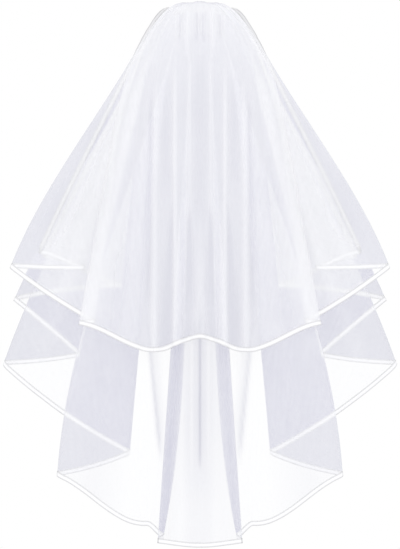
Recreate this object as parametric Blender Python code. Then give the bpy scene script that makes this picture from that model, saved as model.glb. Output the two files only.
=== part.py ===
"""Two-tier bridal veil of soft net with ribbon edges, gathered onto a hair comb.

Sizes are in millimetres and become metres when a mesh is made. The origin is
the middle of the comb's bar, where the wearer's hair holds the veil. +Z is up,
-Y is the wearer's back and +X the wearer's right. Both tiers are the same on
the left and on the right, so the tables give the +X half.
"""
import math
from collections import namedtuple

import bmesh
import bpy
import numpy as np

# Comb
COMB_HALF = 41.0          # half the bar's length
BAR_DEEP = 4.0            # bar, front to back
BAR_HIGH = 4.0            # bar, top to bottom
BAR_DROP = 7.0            # the bar's ends lie this much lower than its middle
BAR_FORWARD = 6.0         # and this much nearer to the face
TEETH = 18
TOOTH_INSET = 3.0         # from the bar's end to the first tooth
TOOTH_LONG = 36.0
TOOTH_WIDE = 1.8          # at the root
TOOTH_TAPER = 0.5         # share of that width that the tip has lost
TOOTH_SWING = 4.0         # how far the teeth curve forward along the head
TOOTH_BEND = 0.6          # share of a half wave that this curve takes
TOOTH_ROOT = 0.8          # how far a tooth's root lies inside the bar
TOOTH_SIDES = 5
TOOTH_LEVELS = (0.0, 0.5, 1.0)

# Gathered heading
SEAM = 0.3                # gap between pieces that are sewn together
TAPE_HIGH = 2.2           # binding tape on top of the bar
TAPE_DEEP = 6.0
TAPE_HALF = 42.5
HEADING_STEPS = 16        # straight lengths that make up the bar's and the tape's arch
GATHER_HALF = 41.0        # half the gathered width of the cloth
GATHER_SEAM = 0.5         # depth of the gathers at the seam
GATHER_DEEP = 4.0         # how they deepen
GATHER_FALL = 25.0        # over this fall
GATHER_FADE = 40.0        # and fade over this

# Cloth and edge ribbon
WALL = 1.0                # net, as a solid wall
RIBBON_WIDE = 6.0
RIBBON_THICK = 1.3
SHARP = 50.0              # degrees between two faces that shade as an edge

# Way of the fold lines from the heading to the hem
HEAD_Z = -72.0            # level of the widest part of the head's back
CROWN_POWER = 0.54        # over the crown they spread as this power of their fall
SETTLE = 40.0             # below it they settle into their run to the hem over this fall
FAN = 0.7                 # share of their turn to the side that they have on the roll

# Looks: colour and roughness
NET_WHITE = ((0.90, 0.90, 0.95), 0.7)
SATIN_WHITE = ((0.96, 0.96, 0.97), 0.35)
CLEAR_WHITE = ((0.93, 0.93, 0.95), 0.25)

# One row for each fold line, from the middle of the back round to the side edge.
#   x, y, z       where the line meets the ribbon's middle
#   sag           how far the hem hangs below a straight line, to the next fold
#   share         place along the gathered heading, 0 middle to 1 end
#   head_x/_y     where the line passes the level HEAD_Z
#   flare         1 runs straight to the hem, 0 hangs plumb there
#   gathers       fine gathers at the heading, to the next fold
#   columns       mesh columns to the next fold
Fold = namedtuple("Fold", "name x y z sag share head_x head_y flare gathers columns")

UPPER_FOLDS = (
    Fold("middle", 0.0, -143.0, -506.0, 0.0, 0.00, 0.0, -80.0, 1.0, 1, 10),
    Fold("low_point", 70.0, -150.0, -526.0, -2.0, 0.20, 56.0, -73.0, 1.0, 2, 8),
    Fold("back_out", 180.0, -134.0, -486.0, 0.0, 0.42, 96.0, -46.0, 1.0, 0, 3),
    Fold("back_in", 157.0, -126.0, -483.0, 5.0, 0.46, 92.0, -41.0, 1.0, 2, 7),
    Fold("side_out", 284.5, -102.0, -400.0, 1.0, 0.66, 101.0, -34.0, 0.65, 1, 5),
    Fold("side_in", 175.0, -90.0, -403.0, 0.0, 0.82, 88.0, -28.0, 1.0, 1, 5),
    Fold("edge", 241.0, -76.0, -380.0, 0.0, 1.00, 97.0, -22.0, 0.9, 0, 0),
)

LOWER_FOLDS = (
    Fold("middle", 0.0, -133.0, -818.0, 1.0, 0.000, 0.0, -73.0, 1.0, 0, 5),
    Fold("pleat_out", 63.0, -129.0, -812.0, 0.0, 0.060, 13.0, -72.0, 1.0, 0, 3),
    Fold("pleat_in", 54.0, -113.0, -807.0, 0.0, 0.090, 14.0, -66.0, 3.7, 0, 2),
    Fold("step", 80.0, -106.0, -789.0, 4.0, 0.110, 20.0, -62.0, 1.0, 1, 6),
    Fold("back_out", 216.0, -92.0, -715.0, 5.0, 0.200, 44.0, -58.0, 0.25, 0, 5),
    Fold("back_in", 107.0, -60.0, -684.0, 12.0, 0.250, 42.0, -51.0, 0.9, 1, 6),
    Fold("side_out", 304.0, -10.0, -550.0, 3.0, 0.410, 80.0, -12.0, 0.75, 1, 5),
    Fold("side_in", 188.0, 8.0, -538.0, -2.0, 0.505, 72.0, -3.0, 1.0, 1, 5),
    Fold("fore_out", 291.0, 30.0, -452.0, -5.0, 0.630, 90.0, 8.0, 0.8, 1, 5),
    Fold("fore_in", 124.0, 50.0, -431.0, 0.0, 0.795, 80.0, 19.0, 1.0, 1, 5),
    Fold("edge", 246.0, 74.0, -385.0, 0.0, 1.000, 93.0, 30.0, 0.9, 0, 0),
)

# Each tier: its folds, the roll over the heading, and its soft upright flutes.
#   roll_high/_low   roll's rise over its lead at the middle, and its loss at the ends
#   roll_deep        how far the roll stands forward of its top
#   rows             mesh rows from the roll's top to the hem
#   flute_pitch      distance between flutes along the hem, on the back panel
#   flute_deep       their depth at the hem
#   flute_reach      how far from the middle they run
Tier = namedtuple("Tier", "folds roll_high roll_low roll_deep rows flute_pitch flute_deep flute_reach")
UPPER = Tier(UPPER_FOLDS, 6.0, 1.0, 5.0, 11, 33.0, 4.0, 110.0)
LOWER = Tier(LOWER_FOLDS, 3.2, 1.2, 2.4, 12, 61.0, 3.0, 55.0)

ROLL_ANGLES = (0.0, 45.0)          # degrees on the roll, from its lead up to its top
ROLL_LEAD = 1.2                    # the cloth stands upright this far above its seam
ROLL_BACK = 3.0                    # the roll's axis lies this far behind the bar
ROW_POWER = 2.0                    # rows are closer near the crown
TURN = 0.15                        # share of a panel that is taken up by its rounded fold
TURN_DEEP = 0.3                    # share of a panel's depth that lies in that fold
TURN_POWER = 8.0                   # how soon that depth is reached


def bar_z(share):
    """Height of the bar's middle line, at a share of the heading."""
    return -BAR_DROP * share ** 2


def bar_y(share):
    """Distance of the bar's middle line towards the face."""
    return BAR_FORWARD * share ** 2


def ease(part, soft_start, soft_end):
    """Straight run from 0 to 1 that slows down where the cloth turns round a fold."""
    start = TURN if soft_start else 0.0
    end = TURN if soft_end else 0.0
    scale = 1.0 - 0.5 * (start + end)
    if part < start:
        return part ** 2 / (2.0 * start) / scale
    if part > 1.0 - end:
        return 1.0 - (1.0 - part) ** 2 / (2.0 * end) / scale
    return (part - 0.5 * start) / scale


def deepen(part, soft_start, soft_end):
    """Share of a panel's depth: quick round a fold, slow along the flat of the panel."""
    start = TURN_DEEP if soft_start else 0.0
    end = TURN_DEEP if soft_end else 0.0
    flat = (1.0 - start - end) * part
    return flat + start * (1.0 - (1.0 - part) ** TURN_POWER) + end * part ** TURN_POWER


def turns_at(folds, index, field):
    """True where the cloth runs out and back, so that it is folded at this line."""
    if index in (0, len(folds) - 1):
        return False
    before, here, after = (getattr(fold, field) for fold in folds[index - 1:index + 2])
    return (here - before) * (after - here) < 0.0


def closer_at_turns(part, soft_start, soft_end):
    """Column places that lie closer together where the cloth turns round a fold."""
    if soft_start and soft_end:
        return 0.5 - 0.5 * math.cos(math.pi * part)
    if soft_start:
        return 1.0 - math.cos(0.5 * math.pi * part)
    if soft_end:
        return math.sin(0.5 * math.pi * part)
    return part


def half_columns(folds):
    """Fold values at every mesh column of one half, from the middle to the edge."""
    table = {field: [] for field in Fold._fields[1:-2]}
    table["gather"] = []
    for index, (fold, following) in enumerate(zip(folds, folds[1:])):
        hem_turns = [turns_at(folds, end, "x") for end in (index, index + 1)]
        head_turns = [turns_at(folds, end, "head_x") for end in (index, index + 1)]
        is_last = index == len(folds) - 2
        for step in range(fold.columns + is_last):
            part = closer_at_turns(step / fold.columns, *hem_turns)
            hang = ease(part, *hem_turns) if all(hem_turns) else part ** 2 * (3.0 - 2.0 * part)
            way = {
                "x": ease(part, *hem_turns),
                "y": deepen(part, *hem_turns),
                "z": hang,
                "head_x": ease(part, *head_turns),
                "head_y": deepen(part, *head_turns),
            }
            for field, values in table.items():
                if field != "gather":
                    start = getattr(fold, field)
                    end = getattr(following, field)
                    values.append(start + (end - start) * way.get(field, part))
            table["z"][-1] -= fold.sag * math.sin(math.pi * part)
            table["gather"].append(math.sin(math.pi * fold.gathers * part) ** 2)
    return {field: np.array(values) for field, values in table.items()}


def fall(start, head, hem, bow, fallen, head_fall, hem_fall, flare):
    """A fold line's sideways or backward place after falling so far from the roll.

    Over the crown it bows from its way out of the heading towards the head point.
    Below, it settles onto a straight run to the hem, or hangs plumb where flare is low.
    """
    part = (fallen / head_fall) ** CROWN_POWER
    over_crown = start + (head - start) * part + bow * part * (1.0 - part)
    leave = (head - start - bow) * CROWN_POWER / head_fall
    length = hem_fall - head_fall
    run = (hem - head) / length
    beyond = np.clip(fallen - head_fall, 0.0, None)
    part = beyond / length
    settling = (leave - run) * SETTLE * (1.0 - np.exp(-beyond / SETTLE)) * (1.0 - part)
    below = head + run * beyond + settling + (hem - head) * (1.0 - flare) * part ** 2 * (1.0 - part)
    return np.where(fallen < head_fall, over_crown, below)


def unit(vectors):
    """The same directions with a length of one."""
    return vectors / np.linalg.norm(vectors, axis=-1, keepdims=True)


def tangents(points):
    """Directions along the first axis, halfway between the steps before and after."""
    steps = unit(np.diff(points, axis=0))
    return unit(np.concatenate((steps[:1], steps[:-1] + steps[1:], steps[-1:])))


def normals_of(grid):
    """Unit normals of a grid of points, rows by columns, facing away from the head."""
    across = tangents(grid.swapaxes(0, 1)).swapaxes(0, 1)
    return unit(np.cross(tangents(grid), across))


def mirrored(half):
    """The whole width from one half: the half turned over in X, then the half itself."""
    other = half[:, :0:-1].copy()
    other[:, :, 0] *= -1.0
    return np.concatenate((other, half), axis=1)


def tier_surface(tier):
    """Middle surface of a tier: rows from the seam to the hem, columns across the back."""
    col = half_columns(tier.folds)
    share = col["share"]
    way_out = FAN * np.arctan2(col["head_x"] - GATHER_HALF * share, bar_y(share) - col["head_y"])
    seam_x = GATHER_HALF * share + (ROLL_BACK - tier.roll_deep) * np.sin(way_out)
    seam_z = bar_z(seam_x / GATHER_HALF) + 0.5 * BAR_HIGH + SEAM + TAPE_HIGH + SEAM
    roll = tier.roll_high - tier.roll_low * share ** 2
    top_z = seam_z + ROLL_LEAD + roll

    def on_roll(angle):
        out = ROLL_BACK - tier.roll_deep * math.cos(angle)
        x = GATHER_HALF * share + out * np.sin(way_out)
        y = bar_y(share) - out * np.cos(way_out)
        z = top_z - roll * (1.0 - math.sin(angle))
        return np.stack((x, y, z), axis=1)

    rows = [on_roll(math.radians(degrees)) for degrees in ROLL_ANGLES]
    rows.insert(0, rows[0] - (0.0, 0.0, ROLL_LEAD))
    start_x, top_y, top_z = on_roll(0.5 * math.pi).T

    cloth_end = col["z"] + 0.5 * RIBBON_WIDE + SEAM
    hem_fall = top_z - cloth_end
    head_fall = top_z - HEAD_Z
    reach = np.hypot(col["head_x"] - start_x, col["head_y"] - top_y)
    bow_x = reach * np.sin(way_out) - (col["head_x"] - start_x)
    bow_y = -reach * np.cos(way_out) - (col["head_y"] - top_y)
    falls = []
    for row in range(tier.rows + 1):
        fallen = hem_fall * (row / tier.rows) ** ROW_POWER
        x = fall(start_x, col["head_x"], col["x"], bow_x, fallen, head_fall, hem_fall, col["flare"])
        y = fall(top_y, col["head_y"], col["y"], bow_y, fallen, head_fall, hem_fall, 1.0)
        rows.append(np.stack((x, y, top_z - fallen), axis=1))
        falls.append(fallen)
    falls = [np.zeros_like(share)] * (len(ROLL_ANGLES) + 1) + falls
    base = mirrored(np.array(rows))
    return base + normals_of(base) * relief(tier, col, np.array(falls), hem_fall)


def relief(tier, col, fallen, hem_fall):
    """How far gathers and flutes stand out of the plain surface."""
    gather_deep = (GATHER_SEAM + GATHER_DEEP * fallen / GATHER_FALL) * np.exp(-fallen / GATHER_FADE)
    flute = np.cos(2.0 * math.pi * col["x"] / tier.flute_pitch)
    window = np.clip(1.0 - col["x"] / tier.flute_reach, 0.0, 1.0) ** 0.5
    flute_deep = tier.flute_deep * window * (fallen / hem_fall)
    half = col["gather"] * gather_deep + flute * flute_deep
    return np.concatenate((half[:, :0:-1], half), axis=1)[:, :, None]


def make_mesh(name, points, faces, look):
    """A closed object from points in millimetres, with its own material."""
    colour, roughness = look
    mesh = bpy.data.meshes.new(name)
    mesh.from_pydata([tuple(p) for p in np.asarray(points) * 0.001], [], faces)
    work = bmesh.new()
    work.from_mesh(mesh)
    bmesh.ops.triangulate(work, faces=work.faces[:])
    bmesh.ops.recalc_face_normals(work, faces=work.faces[:])
    work.to_mesh(mesh)
    work.free()
    mesh.shade_smooth()
    mesh.set_sharp_from_angle(angle=math.radians(SHARP))
    material = bpy.data.materials.new(name)
    material.use_nodes = True
    shader = material.node_tree.nodes["Principled BSDF"]
    shader.inputs["Base Color"].default_value = (*colour, 1.0)
    shader.inputs["Roughness"].default_value = roughness
    mesh.materials.append(material)
    obj = bpy.data.objects.new(name, mesh)
    bpy.context.scene.collection.objects.link(obj)
    return obj


def grid_faces(rows, columns, close_rows, close_columns, start=0):
    """Quads of a grid of points, wrapped round in either direction where asked."""
    faces = []
    for row in range(rows if close_rows else rows - 1):
        for column in range(columns if close_columns else columns - 1):
            after = (row + 1) % rows
            beside = (column + 1) % columns
            corners = ((row, column), (row, beside), (after, beside), (after, column))
            faces.append([start + r * columns + c for r, c in corners])
    return faces


def wall(name, surface, look):
    """A closed wall of cloth round its middle surface."""
    rows, columns = surface.shape[:2]
    offset = normals_of(surface) * 0.5 * WALL
    outer = (surface + offset).reshape(-1, 3)
    inner = (surface - offset).reshape(-1, 3)
    count = rows * columns
    faces = grid_faces(rows, columns, False, False)
    faces += [[count + v for v in reversed(face)] for face in faces]
    rim = [(0, c) for c in range(columns)]
    rim += [(r, columns - 1) for r in range(1, rows)]
    rim += [(rows - 1, c) for c in range(columns - 2, -1, -1)]
    rim += [(r, 0) for r in range(rows - 2, 0, -1)]
    rim = [r * columns + c for r, c in rim]
    for here, there in zip(rim, rim[1:] + rim[:1]):
        faces.append([there, here, count + here, count + there])
    return make_mesh(name, np.concatenate((outer, inner)), faces, look)


def sweep(name, sections, look):
    """A closed bar through a row of sections with the same number of corners."""
    sections = np.asarray(sections)
    count, corners = sections.shape[:2]
    faces = grid_faces(count, corners, False, True)
    faces.append(list(range(corners)))
    faces.append([(count - 1) * corners + c for c in reversed(range(corners))])
    return make_mesh(name, sections.reshape(-1, 3), faces, look)


def ribbon(name, surface, look):
    """The ribbon that binds a tier: down one side edge, along the hem, up the other.

    Along the hem it goes on from the cloth's own upright lines, so that it turns
    round each fold as the cloth does. On the side edges it stands square to them.
    """
    seam_rows = len(ROLL_ANGLES) + 2
    left = [(r, 0) for r in range(seam_rows, surface.shape[0] - 1)]
    hem = [(surface.shape[0] - 1, c) for c in range(surface.shape[1])]
    right = [(r, surface.shape[1] - 1) for r, _ in reversed(left)]
    edge = np.array([surface[r, c] for r, c in left + hem + right])
    inside = [surface[r, 1] for r, _ in left]
    inside += [surface[-2, c] for _, c in hem]
    inside += [surface[r, -2] for r, _ in right]
    along = tangents(edge)
    outward = unit(edge - np.array(inside))
    square = outward - along * np.sum(outward * along, axis=1, keepdims=True)
    slant = np.linalg.norm(square, axis=1, keepdims=True)
    follows_cloth = np.zeros_like(slant)
    follows_cloth[len(left) + 1:-len(left) - 1] = 1.0
    outward = np.where(follows_cloth, outward / slant, square / slant)
    normal = unit(np.cross(along, outward))
    near = edge + outward * SEAM
    far = edge + outward * (SEAM + RIBBON_WIDE)
    half = normal * 0.5 * RIBBON_THICK
    sections = np.stack((near + half, far + half, far - half, near - half), axis=1)
    return sweep(name, sections, look)


def heading_sections(low, high, deep, half_length):
    """Sections of a strip that follows the comb's arch, from its low to its high face."""
    sections = []
    for step in range(HEADING_STEPS + 1):
        x = half_length * (2.0 * step / HEADING_STEPS - 1.0)
        share = x / GATHER_HALF
        y = bar_y(share)
        z = bar_z(share)
        corners = ((-0.5, low), (0.5, low), (0.5, high), (-0.5, high))
        sections.append([(x, y + side * deep, z + level) for side, level in corners])
    return sections


def comb():
    """Moulded comb: an arched bar with curved, tapering teeth, joined in one body."""
    arch = heading_sections(-0.5 * BAR_HIGH, 0.5 * BAR_HIGH, BAR_DEEP, COMB_HALF)
    bar = sweep("comb", arch, CLEAR_WHITE)
    points = []
    faces = []
    for tooth in range(TEETH):
        x = (COMB_HALF - TOOTH_INSET) * (2.0 * tooth / (TEETH - 1) - 1.0)
        share = x / GATHER_HALF
        root_z = bar_z(share) - 0.5 * BAR_HIGH + TOOTH_ROOT
        start = len(points)
        for level in TOOTH_LEVELS:
            radius = 0.5 * TOOTH_WIDE * (1.0 - TOOTH_TAPER * level)
            y = bar_y(share) + TOOTH_SWING * math.sin(math.pi * TOOTH_BEND * level)
            for side in range(TOOTH_SIDES):
                angle = 2.0 * math.pi * side / TOOTH_SIDES
                corner = (x + radius * math.cos(angle), y + radius * math.sin(angle))
                points.append((*corner, root_z - TOOTH_LONG * level))
        faces += grid_faces(len(TOOTH_LEVELS), TOOTH_SIDES, False, True, start)
        faces.append(list(range(start, start + TOOTH_SIDES)))
        faces.append(list(reversed(range(len(points) - TOOTH_SIDES, len(points)))))
    teeth = make_mesh("comb_teeth", points, faces, CLEAR_WHITE)
    teeth.hide_render = True
    teeth.display_type = "WIRE"
    join = bar.modifiers.new("teeth", "BOOLEAN")
    join.operation = "UNION"
    join.object = teeth


def build():
    """All the pieces, in an emptied scene."""
    for old in list(bpy.data.objects):
        bpy.data.objects.remove(old, do_unlink=True)
    for name, tier in (("upper", UPPER), ("lower", LOWER)):
        surface = tier_surface(tier)
        wall(name + "_tier", surface, NET_WHITE)
        ribbon(name + "_ribbon", surface, SATIN_WHITE)
    low = 0.5 * BAR_HIGH + SEAM
    sweep("heading_tape", heading_sections(low, low + TAPE_HIGH, TAPE_DEEP, TAPE_HALF), SATIN_WHITE)
    comb()


build()
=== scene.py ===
# %% [markdown]
# # A two-tier bridal veil
#
# A bridal veil is two pieces of fine net, called tulle, laid on each other and drawn
# together along the top, where a short tape joins them to a hair comb. Each piece has a
# narrow satin ribbon folded over its side edges and hem. The veil hangs from the back of
# the wearer's crown, and its wide cloth falls into large folds on both sides.
#
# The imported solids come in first, as a fixed frame. They say where each piece lies. The
# pieces below are finer, and each one takes the place of its plain solid.

# %% Load the frame
import math
from collections import namedtuple

import bmesh
import bpy
import numpy as np
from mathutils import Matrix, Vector


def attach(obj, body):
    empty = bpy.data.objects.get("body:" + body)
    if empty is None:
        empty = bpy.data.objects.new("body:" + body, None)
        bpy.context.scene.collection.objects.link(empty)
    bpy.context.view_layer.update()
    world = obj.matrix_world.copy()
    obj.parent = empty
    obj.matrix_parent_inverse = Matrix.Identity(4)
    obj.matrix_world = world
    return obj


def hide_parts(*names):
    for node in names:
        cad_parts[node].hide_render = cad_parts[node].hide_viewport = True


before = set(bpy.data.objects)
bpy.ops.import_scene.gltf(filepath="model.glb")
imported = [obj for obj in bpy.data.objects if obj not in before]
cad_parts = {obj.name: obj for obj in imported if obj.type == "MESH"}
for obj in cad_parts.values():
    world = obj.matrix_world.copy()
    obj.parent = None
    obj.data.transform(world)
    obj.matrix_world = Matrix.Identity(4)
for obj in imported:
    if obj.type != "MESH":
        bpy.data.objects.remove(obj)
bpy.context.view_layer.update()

MM = 0.001
BODY = "root"

# %% [markdown]
# ## Camera
#
# The photograph looks straight at the wearer's back from a few metres away, level with
# the middle of the veil. The lens follows from the distance and from the height that the
# picture's long side covers at the veil, so the veil fills the frame as it does there.

# %% Camera
CAMERA_DISTANCE = 3.2
PICTURE_HEIGHT = 0.8564            # metres at the comb's distance, over 549 pixels
SENSOR = 36.0
CAMERA_LEVEL = -0.413

camera_data = bpy.data.cameras.new("camera")
camera_data.sensor_fit = "AUTO"
camera_data.sensor_width = SENSOR
camera_data.lens = SENSOR * CAMERA_DISTANCE / PICTURE_HEIGHT
camera = bpy.data.objects.new("camera", camera_data)
camera.location = (0.0, -CAMERA_DISTANCE, CAMERA_LEVEL)
camera.rotation_euler = (math.radians(90.0), 0.0, 0.0)
bpy.context.scene.collection.objects.link(camera)
bpy.context.scene.camera = camera
print("lens in millimetres:", round(camera_data.lens, 1))

# %% [markdown]
# ## The fold lines
#
# Wide cloth that hangs from a short heading falls into folds. Each fold is a line that
# leaves the heading, spreads over the crown and runs down to the hem. If the places of
# these few lines are known, all the cloth between them follows. The tables name each line
# of one half, from the middle of the back round to the side edge, and they are the same
# as in the solids. Lengths in them are in millimetres.

# %% Fold tables
Fold = namedtuple("Fold", "name x y z sag share head_x head_y flare gathers columns")

UPPER_FOLDS = (
    Fold("middle", 0.0, -143.0, -506.0, 0.0, 0.00, 0.0, -80.0, 1.0, 1, 10),
    Fold("low_point", 70.0, -150.0, -526.0, -2.0, 0.20, 56.0, -73.0, 1.0, 2, 8),
    Fold("back_out", 180.0, -134.0, -486.0, 0.0, 0.42, 96.0, -46.0, 1.0, 0, 3),
    Fold("back_in", 157.0, -126.0, -483.0, 5.0, 0.46, 92.0, -41.0, 1.0, 2, 7),
    Fold("side_out", 284.5, -102.0, -400.0, 1.0, 0.66, 101.0, -34.0, 0.65, 1, 5),
    Fold("side_in", 175.0, -90.0, -403.0, 0.0, 0.82, 88.0, -28.0, 1.0, 1, 5),
    Fold("edge", 241.0, -76.0, -380.0, 0.0, 1.00, 97.0, -22.0, 0.9, 0, 0),
)
LOWER_FOLDS = (
    Fold("middle", 0.0, -133.0, -818.0, 1.0, 0.000, 0.0, -73.0, 1.0, 0, 5),
    Fold("pleat_out", 63.0, -129.0, -812.0, 0.0, 0.060, 13.0, -72.0, 1.0, 0, 3),
    Fold("pleat_in", 54.0, -113.0, -807.0, 0.0, 0.090, 14.0, -66.0, 3.7, 0, 2),
    Fold("step", 80.0, -106.0, -789.0, 4.0, 0.110, 20.0, -62.0, 1.0, 1, 6),
    Fold("back_out", 216.0, -92.0, -715.0, 5.0, 0.200, 44.0, -58.0, 0.25, 0, 5),
    Fold("back_in", 107.0, -60.0, -684.0, 12.0, 0.250, 42.0, -51.0, 0.9, 1, 6),
    Fold("side_out", 304.0, -10.0, -550.0, 3.0, 0.410, 80.0, -12.0, 0.75, 1, 5),
    Fold("side_in", 188.0, 8.0, -538.0, -2.0, 0.505, 72.0, -3.0, 1.0, 1, 5),
    Fold("fore_out", 291.0, 30.0, -452.0, -5.0, 0.630, 90.0, 8.0, 0.8, 1, 5),
    Fold("fore_in", 124.0, 50.0, -431.0, 0.0, 0.795, 80.0, 19.0, 1.0, 1, 5),
    Fold("edge", 246.0, 74.0, -385.0, 0.0, 1.000, 93.0, 30.0, 0.9, 0, 0),
)

Tier = namedtuple(
    "Tier", "name folds roll_high roll_low roll_deep flute_pitch flute_deep flute_reach finer rows"
)
UPPER = Tier("upper", UPPER_FOLDS, 6.0, 1.0, 5.0, 33.0, 4.0, 110.0, 9, 90)
LOWER = Tier("lower", LOWER_FOLDS, 3.2, 1.2, 2.4, 61.0, 3.0, 55.0, 8, 96)

BAR_HIGH = 4.0                     # section of the comb's bar
BAR_DEEP = 4.0
BAR_DROP = 7.0                     # how far its arch drops and curves forward at the ends
BAR_FORWARD = 6.0
SEAM = 0.3                         # clear space between two pieces that are sewn together
TAPE_HIGH = 2.2
GATHER_HALF = 41.0                 # half the width of the gathered top
GATHER_SEAM = 0.5                  # depth of the gathers at the tape
GATHER_DEEP = 4.0                  # what they gain in each GATHER_FALL below it
GATHER_FALL = 25.0
GATHER_FADE = 40.0                 # length over which they fade again
RIBBON_WIDE = 6.0
HEAD_Z = -72.0                     # level at which the head_x and head_y columns hold
CROWN_POWER = 0.54                 # how roundly the cloth bows over the crown
SETTLE = 40.0                      # length in which it turns into its straight run
FAN = 0.7                          # how far the columns spread already on the roll
ROLL_STEPS = 9
ROLL_LEAD = 1.2                    # cloth that comes straight up before it rolls over
ROLL_BACK = 3.0                    # how far behind the bar's middle the roll's top lies
ROW_POWER = 1.6                    # rows lie closer together near the heading
TURN = 0.15                        # share of a panel that turns round a fold
TURN_DEEP = 0.3                    # share of its depth that this turn takes, and how sharply
TURN_POWER = 8.0

# %% [markdown]
# ## From fold lines to a sheet
#
# A sheet of cloth is a grid of points. Its columns run down the cloth, close together
# where the cloth turns round a fold, and its rows run across it. The first function gives
# each column its place at the hem, at the back of the head and on the heading. The second
# follows a column down: a bow over the crown, then a run to the hem.

# %% Columns of a tier
def bar_z(share):
    """Height of the comb's arched bar, at a share of the heading."""
    return -BAR_DROP * share ** 2


def bar_y(share):
    """How far the bar has curved towards the face there."""
    return BAR_FORWARD * share ** 2


def soft_step(part):
    """From 0 to 1 with a slow start and a slow end."""
    return part ** 2 * (3.0 - 2.0 * part)


def ease(part, soft_start, soft_end):
    """Straight run from 0 to 1 that slows down where the cloth turns round a fold."""
    start = TURN if soft_start else 0.0
    end = TURN if soft_end else 0.0
    scale = 1.0 - 0.5 * (start + end)
    if part < start:
        return part ** 2 / (2.0 * start) / scale
    if part > 1.0 - end:
        return 1.0 - (1.0 - part) ** 2 / (2.0 * end) / scale
    return (part - 0.5 * start) / scale


def deepen(part, soft_start, soft_end):
    """Share of a panel's depth: quick round a fold, slow along the flat of the panel."""
    start = TURN_DEEP if soft_start else 0.0
    end = TURN_DEEP if soft_end else 0.0
    flat = (1.0 - start - end) * part
    return flat + start * (1.0 - (1.0 - part) ** TURN_POWER) + end * part ** TURN_POWER


def turns_at(folds, index, field):
    """True where the cloth runs out and back, so that it is folded at this line."""
    if index in (0, len(folds) - 1):
        return False
    before, here, after = (getattr(fold, field) for fold in folds[index - 1:index + 2])
    return (here - before) * (after - here) < 0.0


def closer_at_turns(part, soft_start, soft_end):
    """Column places that lie closer together where the cloth turns round a fold."""
    if soft_start and soft_end:
        return 0.5 - 0.5 * math.cos(math.pi * part)
    if soft_start:
        return 1.0 - math.cos(0.5 * math.pi * part)
    if soft_end:
        return math.sin(0.5 * math.pi * part)
    return part


def half_columns(folds, finer):
    """Fold values at every column of one half, from the middle to the side edge."""
    table = {field: [] for field in Fold._fields[1:-2]}
    table["gather"] = []
    table["panel"] = []
    for index, (fold, following) in enumerate(zip(folds, folds[1:])):
        hem_turns = [turns_at(folds, end, "x") for end in (index, index + 1)]
        head_turns = [turns_at(folds, end, "head_x") for end in (index, index + 1)]
        is_last = index == len(folds) - 2
        count = fold.columns * finer
        for step in range(count + is_last):
            part = closer_at_turns(step / count, *hem_turns)
            hang = ease(part, *hem_turns) if all(hem_turns) else soft_step(part)
            way = {
                "x": ease(part, *hem_turns),
                "y": deepen(part, *hem_turns),
                "z": hang,
                "head_x": ease(part, *head_turns),
                "head_y": deepen(part, *head_turns),
            }
            for field in Fold._fields[1:-2]:
                start = getattr(fold, field)
                end = getattr(following, field)
                table[field].append(start + (end - start) * way.get(field, part))
            table["z"][-1] -= fold.sag * math.sin(math.pi * part)
            table["gather"].append(math.sin(math.pi * fold.gathers * part) ** 2)
            table["panel"].append(index + part)
    return {field: np.array(values) for field, values in table.items()}


def fall(start, head, hem, bow, fallen, head_fall, hem_fall, flare):
    """A column's sideways or backward place after falling so far from the roll."""
    part = (fallen / head_fall) ** CROWN_POWER
    over_crown = start + (head - start) * part + bow * part * (1.0 - part)
    leave = (head - start - bow) * CROWN_POWER / head_fall
    length = hem_fall - head_fall
    run = (hem - head) / length
    beyond = np.clip(fallen - head_fall, 0.0, None)
    part = beyond / length
    settling = (leave - run) * SETTLE * (1.0 - np.exp(-beyond / SETTLE)) * (1.0 - part)
    flaring = (hem - head) * (1.0 - flare) * part ** 2 * (1.0 - part)
    return np.where(fallen < head_fall, over_crown, head + run * beyond + settling + flaring)


# %% [markdown]
# ## Small folds laid on the large ones
#
# Net is light and springy, so narrow folds run down it between the large ones, and they
# are uneven: no two are as wide or as deep. They are listed here. Each one lies
# between two of the fold lines above and runs straight from the back of the head to the
# hem. It lifts the cloth, gathers more or less net into its width, and paints a little shade on it.
# Three numbers for each point of the cloth come out of this table.

# %% Creases listed one by one
# CREASES gives the tier and the two fold lines that a crease lies between, and then its row:
# side: 1 or -1 for one half, 0 for both.
# head_x and hem_x: its distance from the middle at the head's level and at the hem.
# head_wide and hem_wide: half its width there; below zero it starts as a point on the way.
# deep: height, negative for a hollow. net: share of extra net. shade: painted shade, darker below
# zero.
# begin and full: levels between which it fades in. fade and end: where it fades out.
Crease = namedtuple(
    "Crease", "side head_x hem_x head_wide hem_wide deep net shade begin full fade end"
)
DOWN = (-2000.0, -2001.0)          # levels for a crease that runs on to the hem

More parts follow.
